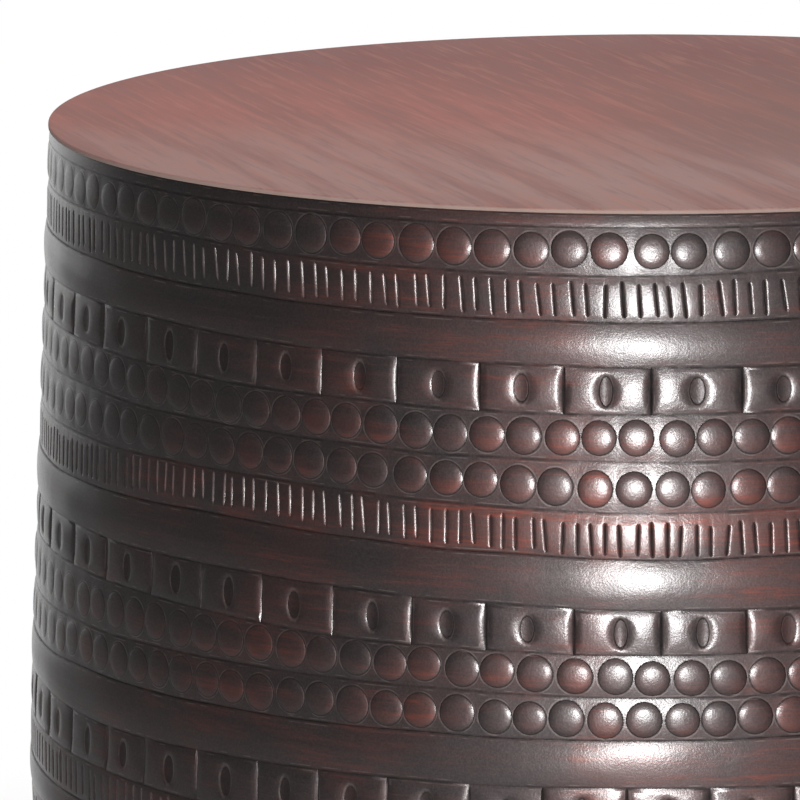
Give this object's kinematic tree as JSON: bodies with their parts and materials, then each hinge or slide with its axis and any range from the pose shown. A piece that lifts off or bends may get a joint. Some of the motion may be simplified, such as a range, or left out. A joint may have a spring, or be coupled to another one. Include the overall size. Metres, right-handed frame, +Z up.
{
  "type": "drum side table",
  "caption": "Round drum side table: bellied sheet-metal wall raised into rings of hammered marks, flat metal top, open base on screw levelling glides.",
  "frame": {"origin": "on the floor, below the middle of the round top", "axes": "+Z up along the drum's axis; the feet stand on the X and Y axes; the picture is taken from -Y"},
  "size_m": [0.4399, 0.44, 0.46],
  "materials": {
    "patina_wall": "dark antique copper patina, rubbed through on the raised marks, gloss lacquer",
    "patina_top": "brushed antique copper patina, satin lacquer",
    "black_steel": "matt black enamel",
    "zinc_steel": "bright zinc plate",
    "glide_plastic": "moulded matt black"
  },
  "bodies": {
    "drum": {"drum_wall": "patina_wall", "top_plate": "patina_top", "top_hoop": "black_steel", "base_hoop": "black_steel", "base_wire": "zinc_steel", "brace_long": "black_steel", "brace_half_left": "black_steel", "brace_half_right": "black_steel", "foot_nuts": "zinc_steel", "foot_bracket_1": "black_steel", "foot_bracket_2": "black_steel", "foot_bracket_3": "black_steel", "foot_bracket_4": "black_steel"},
    "pad_1": {"glide_pad_1": "glide_plastic"},
    "stem_1": {"glide_stem_1": "zinc_steel"},
    "pad_2": {"glide_pad_2": "glide_plastic"},
    "stem_2": {"glide_stem_2": "zinc_steel"},
    "pad_3": {"glide_pad_3": "glide_plastic"},
    "stem_3": {"glide_stem_3": "zinc_steel"},
    "pad_4": {"glide_pad_4": "glide_plastic"},
    "stem_4": {"glide_stem_4": "zinc_steel"}
  },
  "joints": [
    {"name": "glide_1_slide", "type": "slide", "parent": "drum", "child": "pad_1", "axis": [0, 0, -1], "range_m": [0, 0.01]},
    {"name": "glide_1_turn", "type": "hinge", "parent": "pad_1", "child": "stem_1", "pos_m": [0.18578, 0, 0.0082], "axis": [0, 0, -1], "range_deg": [0, 2880]},
    {"name": "glide_2_slide", "type": "slide", "parent": "drum", "child": "pad_2", "axis": [0, 0, -1], "range_m": [0, 0.01]},
    {"name": "glide_2_turn", "type": "hinge", "parent": "pad_2", "child": "stem_2", "pos_m": [0, 0.18578, 0.0082], "axis": [0, 0, -1], "range_deg": [0, 2880]},
    {"name": "glide_3_slide", "type": "slide", "parent": "drum", "child": "pad_3", "axis": [0, 0, -1], "range_m": [0, 0.01]},
    {"name": "glide_3_turn", "type": "hinge", "parent": "pad_3", "child": "stem_3", "pos_m": [-0.18578, 0, 0.0082], "axis": [0, 0, -1], "range_deg": [0, 2880]},
    {"name": "glide_4_slide", "type": "slide", "parent": "drum", "child": "pad_4", "axis": [0, 0, -1], "range_m": [0, 0.01]},
    {"name": "glide_4_turn", "type": "hinge", "parent": "pad_4", "child": "stem_4", "pos_m": [0, -0.18578, 0.0082], "axis": [0, 0, -1], "range_deg": [0, 2880]}
  ],
  "couplings": [
    {"joint": "glide_1_turn", "follows": "glide_1_slide", "rad_per_m": 5026.5},
    {"joint": "glide_2_turn", "follows": "glide_2_slide", "rad_per_m": 5026.5},
    {"joint": "glide_3_turn", "follows": "glide_3_slide", "rad_per_m": 5026.5},
    {"joint": "glide_4_turn", "follows": "glide_4_slide", "rad_per_m": 5026.5}
  ]
}
